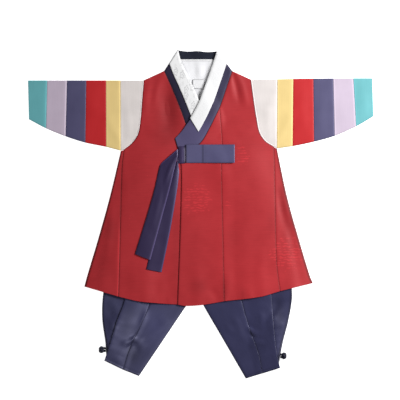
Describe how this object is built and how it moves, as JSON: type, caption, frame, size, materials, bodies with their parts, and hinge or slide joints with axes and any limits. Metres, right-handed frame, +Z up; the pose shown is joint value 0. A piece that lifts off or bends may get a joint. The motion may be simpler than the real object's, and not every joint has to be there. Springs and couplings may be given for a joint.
{
  "type": "korean hanbok",
  "caption": "small child's first-birthday hanbok laid flat: long red coat with striped sleeves, crossed collar and tied bow, over navy trousers gathered at the ankles",
  "frame": {"origin": "on the surface that the garment lies on, under the middle of its outline", "axes": "+X to the wearer's left along the sleeves, +Y from the hem to the neck, +Z up, out of the garment's front"},
  "size_m": [0.7078, 0.6743, 0.0142],
  "materials": {
    "silk_red": "woven silk damask, satin",
    "silk_navy": "plain woven silk satin",
    "silk_white": "plain woven silk, matt sheen",
    "silk_yellow": "plain woven silk, matt sheen",
    "silk_teal": "plain woven silk, matt sheen",
    "silk_lilac": "plain woven silk, matt sheen",
    "collar_white": "stiff white silk with pale silver flowers",
    "lining_white": "thin plain lining"
  },
  "bodies": {
    "root": {"sleeve_r_1_teal": "silk_teal", "sleeve_r_2_lilac": "silk_lilac", "sleeve_r_3_navy": "silk_navy", "sleeve_r_4_red": "silk_red", "sleeve_r_5_yellow": "silk_yellow", "sleeve_r_6_white": "silk_white", "sleeve_l_1_teal": "silk_teal", "sleeve_l_2_lilac": "silk_lilac", "sleeve_l_3_navy": "silk_navy", "sleeve_l_4_red": "silk_red", "sleeve_l_5_yellow": "silk_yellow", "sleeve_l_6_white": "silk_white", "coat_back_r": "silk_red", "coat_back_l": "silk_red", "coat_gore_r": "silk_red", "coat_gore_l": "silk_red", "coat_front_r": "silk_red", "coat_front_l": "silk_red", "coat_overlap_l": "silk_red", "collar_back": "silk_navy", "collar_r": "silk_navy", "collar_l": "silk_navy", "tie_loop": "silk_navy", "tie_tail_lower": "silk_navy", "tie_tail_upper": "silk_navy", "tie_knot": "silk_navy", "trouser_leg_r": "silk_navy", "trouser_leg_l": "silk_navy", "trouser_gusset_front_r": "silk_navy", "trouser_gusset_front_l": "silk_navy", "trouser_gusset_back_r": "silk_navy", "trouser_gusset_back_l": "silk_navy", "waistband_front": "silk_navy", "waistband_back": "silk_navy", "ankle_button_r": "silk_navy", "ankle_button_l": "silk_navy", "collar_white_r": "collar_white", "collar_white_l": "collar_white", "neck_edge_strip": "collar_white", "lining_back": "lining_white", "blank_label": "lining_white"}
  },
  "joints": []
}
